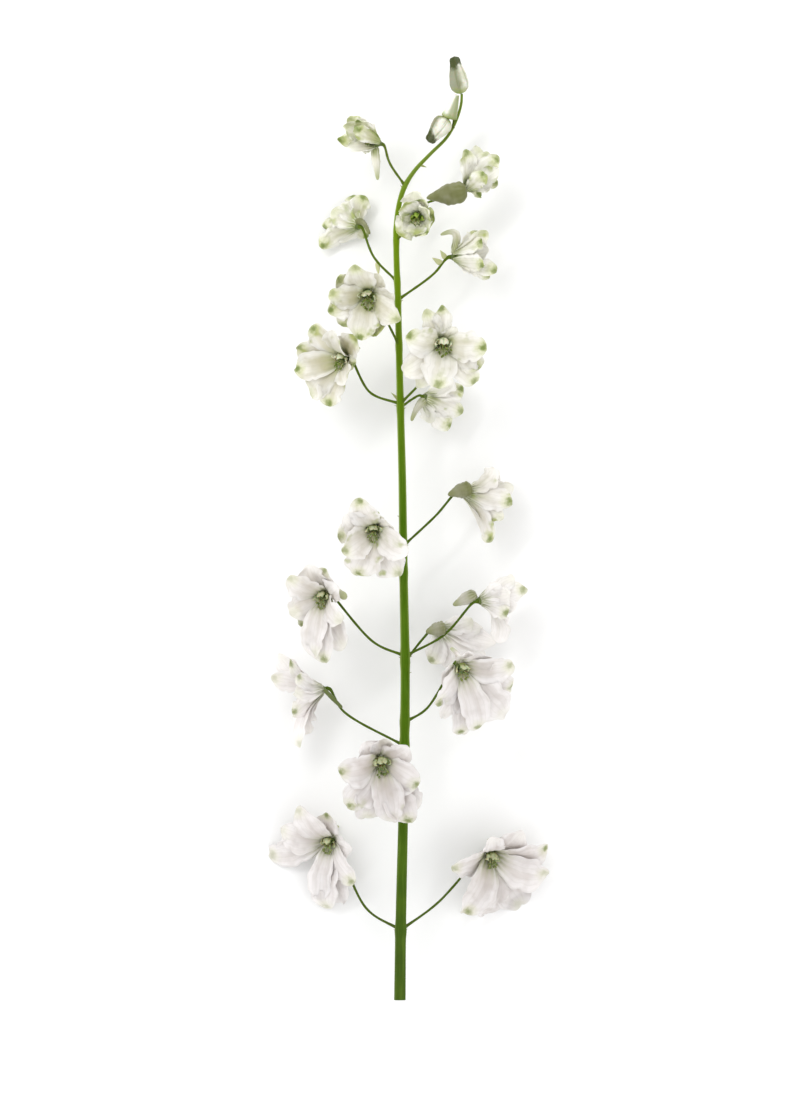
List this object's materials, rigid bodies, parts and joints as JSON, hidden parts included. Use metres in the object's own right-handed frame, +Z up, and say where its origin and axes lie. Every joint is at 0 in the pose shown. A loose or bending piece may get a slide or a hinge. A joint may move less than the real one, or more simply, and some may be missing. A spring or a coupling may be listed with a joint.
{
  "type": "cut delphinium flower spike",
  "caption": "Cut spike of a white delphinium lying on its side: a slender green stem with open florets on thin stalks, smaller and more closed towards the tip, and buds at its end.",
  "frame": {"origin": "middle of the footprint, on the surface that the spike lies on", "axes": "+Y along the stem from its cut end to the tip, +Z up from the surface, +X to the right as seen from above with the tip pointing away"},
  "size_m": [0.1416, 0.4721, 0.0694],
  "materials": {
    "stem": "satin",
    "petal": "matte, thin",
    "eye": "matte",
    "bud": "satin"
  },
  "bodies": {
    "root": {"stem": "stem", "floret_01_petals": "petal", "floret_02_petals": "petal", "floret_03_petals": "petal", "floret_04_petals": "petal", "floret_05_petals": "petal", "floret_06_petals": "petal", "floret_07_petals": "petal", "floret_08_petals": "petal", "floret_09_petals": "petal", "floret_10_petals": "petal", "floret_11_petals": "petal", "floret_12_petals": "petal", "floret_13_petals": "petal", "floret_14_petals": "petal", "floret_15_petals": "petal", "floret_16_petals": "petal", "floret_17_petals": "petal", "floret_18_petals": "petal", "floret_19_petals": "petal", "floret_01_eye": "eye", "floret_02_eye": "eye", "floret_03_eye": "eye", "floret_04_eye": "eye", "floret_05_eye": "eye", "floret_06_eye": "eye", "floret_07_eye": "eye", "floret_08_eye": "eye", "floret_09_eye": "eye", "floret_10_eye": "eye", "floret_11_eye": "eye", "floret_12_eye": "eye", "floret_13_eye": "eye", "floret_14_eye": "eye", "floret_15_eye": "eye", "floret_16_eye": "eye", "floret_17_eye": "eye", "floret_18_eye": "eye", "floret_19_eye": "eye", "bud_side": "bud", "bud_top": "bud"}
  },
  "joints": []
}
